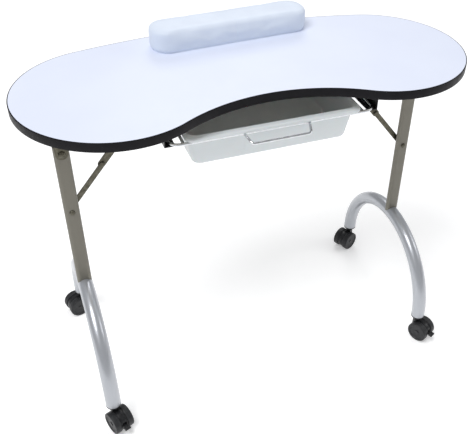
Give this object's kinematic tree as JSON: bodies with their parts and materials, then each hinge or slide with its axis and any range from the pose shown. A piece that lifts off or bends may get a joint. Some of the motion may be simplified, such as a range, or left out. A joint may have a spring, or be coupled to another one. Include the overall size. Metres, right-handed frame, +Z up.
{
  "type": "manicure table",
  "caption": "Folding kidney-shaped manicure table with silver arch-foot legs on castors, folding stays, a pull-out tray on runners and a loose wrist cushion.",
  "frame": {"origin": "on the floor, at the middle of the whole footprint, castors included, and midway between the two legs", "axes": "+Z up; X along the worktop, +X to the seated client's right when seen from the hollow side; the client sits at -Y, at the hollow edge; the bowed edge with the cushion is at +Y"},
  "size_m": [0.8998, 0.4455, 0.746],
  "materials": {
    "board": "raw fibreboard",
    "white_laminate": "satin white laminate",
    "black_edge": "satin black edging",
    "silver_paint": "satin silver paint",
    "taupe_paint": "satin warm silver-grey paint",
    "zinc_steel": "dull zinc plate",
    "black_steel": "black paint",
    "black_nylon": "matte",
    "chrome_wire": "bright plate",
    "grey_bar": "light grey paint",
    "white_tray": "semi-gloss white",
    "white_vinyl": "smooth white vinyl",
    "black_wheel": "satin black",
    "black_castor": "satin black"
  },
  "bodies": {
    "table": {"top_board": "board", "top_laminate": "white_laminate", "edge_band": "black_edge", "hanger_screws": "zinc_steel", "leg_pivot_bolts": "zinc_steel", "stay_bracket_screws": "zinc_steel", "stay_bracket_rivets": "zinc_steel", "runner_screws": "zinc_steel", "runner_stops": "black_nylon", "left_leg_hanger": "zinc_steel", "right_leg_hanger": "zinc_steel", "left_stay_bracket": "zinc_steel", "right_stay_bracket": "zinc_steel", "left_tray_runner": "black_steel", "right_tray_runner": "black_steel"},
    "slide_tray": {"tray": "white_tray", "tray_wire_frame": "chrome_wire", "tray_rear_wire": "chrome_wire", "tray_handle": "chrome_wire", "left_tray_side_bar": "grey_bar", "right_tray_side_bar": "grey_bar"},
    "wrist_cushion": {"cushion_pad": "white_vinyl", "cushion_base": "white_vinyl"},
    "left_leg": {"left_leg_post": "taupe_paint", "left_foot_arch": "silver_paint", "left_castor_sockets": "black_nylon", "left_stay_bolt": "zinc_steel"},
    "left_stay_lower": {"left_stay_lower": "zinc_steel"},
    "left_stay_upper": {"left_stay_upper": "zinc_steel", "left_knee_rivet": "zinc_steel"},
    "right_leg": {"right_leg_post": "taupe_paint", "right_foot_arch": "silver_paint", "right_castor_sockets": "black_nylon", "right_stay_bolt": "zinc_steel"},
    "right_stay_lower": {"right_stay_lower": "zinc_steel"},
    "right_stay_upper": {"right_stay_upper": "zinc_steel", "right_knee_rivet": "zinc_steel"},
    "front_left_castor": {"front_left_castor_body": "black_castor", "front_left_castor_stem": "zinc_steel", "front_left_castor_axle": "black_steel"},
    "front_left_wheel_left": {"front_left_wheel_left": "black_wheel"},
    "front_left_wheel_right": {"front_left_wheel_right": "black_wheel"},
    "front_left_brake": {"front_left_brake_lever": "black_castor"},
    "front_right_castor": {"front_right_castor_body": "black_castor", "front_right_castor_stem": "zinc_steel", "front_right_castor_axle": "black_steel"},
    "front_right_wheel_left": {"front_right_wheel_left": "black_wheel"},
    "front_right_wheel_right": {"front_right_wheel_right": "black_wheel"},
    "front_right_brake": {"front_right_brake_lever": "black_castor"},
    "rear_right_castor": {"rear_right_castor_body": "black_castor", "rear_right_castor_stem": "zinc_steel", "rear_right_castor_axle": "black_steel"},
    "rear_right_wheel_left": {"rear_right_wheel_left": "black_wheel"},
    "rear_right_wheel_right": {"rear_right_wheel_right": "black_wheel"},
    "rear_left_castor": {"rear_left_castor_body": "black_castor", "rear_left_castor_stem": "zinc_steel", "rear_left_castor_axle": "black_steel"},
    "rear_left_wheel_left": {"rear_left_wheel_left": "black_wheel"},
    "rear_left_wheel_right": {"rear_left_wheel_right": "black_wheel"}
  },
  "joints": [
    {"name": "tray_slide", "type": "slide", "parent": "table", "child": "slide_tray", "axis": [0, -1, 0], "range_m": [0, 0.19]},
    {"name": "cushion_lift", "type": "slide", "parent": "table", "child": "wrist_cushion", "axis": [0, 0, 1], "range_m": [0, 0.1]},
    {"name": "left_leg_fold", "type": "hinge", "parent": "table", "child": "left_leg", "pos_m": [-0.375, 0.014, 0.582], "axis": [0, -1, 0], "range_deg": [0, 84]},
    {"name": "left_stay_lower_pivot", "type": "hinge", "parent": "left_leg", "child": "left_stay_lower", "pos_m": [-0.375, 0.0235, 0.444], "axis": [0, -1, 0], "range_deg": [0, 28.72]},
    {"name": "left_stay_upper_pivot", "type": "hinge", "parent": "table", "child": "left_stay_upper", "pos_m": [-0.2225, 0.0268, 0.629], "axis": [0, 1, 0], "range_deg": [0, 37.38]},
    {"name": "right_leg_fold", "type": "hinge", "parent": "table", "child": "right_leg", "pos_m": [0.375, 0.014, 0.582], "axis": [0, 1, 0], "range_deg": [0, 78]},
    {"name": "right_stay_lower_pivot", "type": "hinge", "parent": "right_leg", "child": "right_stay_lower", "pos_m": [0.375, 0.0235, 0.444], "axis": [0, 1, 0], "range_deg": [0, 29.51]},
    {"name": "right_stay_upper_pivot", "type": "hinge", "parent": "table", "child": "right_stay_upper", "pos_m": [0.2225, 0.0268, 0.629], "axis": [0, -1, 0], "range_deg": [0, 35.25]},
    {"name": "front_left_castor_swivel", "type": "hinge", "parent": "left_leg", "child": "front_left_castor", "pos_m": [-0.375, -0.172, 0.06], "axis": [0, 0, 1], "continuous": true},
    {"name": "front_left_wheel_left_spin", "type": "hinge", "parent": "front_left_castor", "child": "front_left_wheel_left", "pos_m": [-0.35547, -0.18298, 0.025], "axis": [0.9397, 0.342, 0], "continuous": true},
    {"name": "front_left_wheel_right_spin", "type": "hinge", "parent": "front_left_castor", "child": "front_left_wheel_right", "pos_m": [-0.3829, -0.19297, 0.025], "axis": [0.9397, 0.342, 0], "continuous": true},
    {"name": "front_left_brake_press", "type": "hinge", "parent": "front_left_castor", "child": "front_left_brake", "pos_m": [-0.3644, -0.20113, 0.025], "axis": [0.9397, 0.342, 0], "range_deg": [0, 18]},
    {"name": "front_right_castor_swivel", "type": "hinge", "parent": "right_leg", "child": "front_right_castor", "pos_m": [0.375, -0.172, 0.06], "axis": [0, 0, 1], "continuous": true},
    {"name": "front_right_wheel_left_spin", "type": "hinge", "parent": "front_right_castor", "child": "front_right_wheel_left", "pos_m": [0.39542, -0.18124, 0.025], "axis": [0.9063, 0.4226, 0], "continuous": true},
    {"name": "front_right_wheel_right_spin", "type": "hinge", "parent": "front_right_castor", "child": "front_right_wheel_right", "pos_m": [0.36895, -0.19358, 0.025], "axis": [0.9063, 0.4226, 0], "continuous": true},
    {"name": "front_right_brake_press", "type": "hinge", "parent": "front_right_castor", "child": "front_right_brake", "pos_m": [0.3881, -0.2001, 0.025], "axis": [0.9063, 0.4226, 0], "range_deg": [0, 18]},
    {"name": "rear_right_castor_swivel", "type": "hinge", "parent": "right_leg", "child": "rear_right_castor", "pos_m": [0.375, 0.2, 0.06], "axis": [0, 0, 1], "continuous": true},
    {"name": "rear_right_wheel_left_spin", "type": "hinge", "parent": "rear_right_castor", "child": "rear_right_wheel_left", "pos_m": [0.36576, 0.17958, 0.025], "axis": [0.4226, -0.9063, 0], "continuous": true},
    {"name": "rear_right_wheel_right_spin", "type": "hinge", "parent": "rear_right_castor", "child": "rear_right_wheel_right", "pos_m": [0.35342, 0.20605, 0.025], "axis": [0.4226, -0.9063, 0], "continuous": true},
    {"name": "rear_left_castor_swivel", "type": "hinge", "parent": "left_leg", "child": "rear_left_castor", "pos_m": [-0.375, 0.2, 0.06], "axis": [0, 0, 1], "continuous": true},
    {"name": "rear_left_wheel_left_spin", "type": "hinge", "parent": "rear_left_castor", "child": "rear_left_wheel_left", "pos_m": [-0.38764, 0.1815, 0.025], "axis": [0.2588, -0.9659, 0], "continuous": true},
    {"name": "rear_left_wheel_right_spin", "type": "hinge", "parent": "rear_left_castor", "child": "rear_left_wheel_right", "pos_m": [-0.3952, 0.2097, 0.025], "axis": [0.2588, -0.9659, 0], "continuous": true}
  ],
  "couplings": [
    {"joint": "left_stay_lower_pivot", "follows": "left_leg_fold", "ratio": 0.34181},
    {"joint": "left_stay_upper_pivot", "follows": "left_leg_fold", "ratio": 0.44492},
    {"joint": "right_stay_lower_pivot", "follows": "right_leg_fold", "ratio": 0.37816},
    {"joint": "right_stay_upper_pivot", "follows": "right_leg_fold", "ratio": 0.45184}
  ]
}
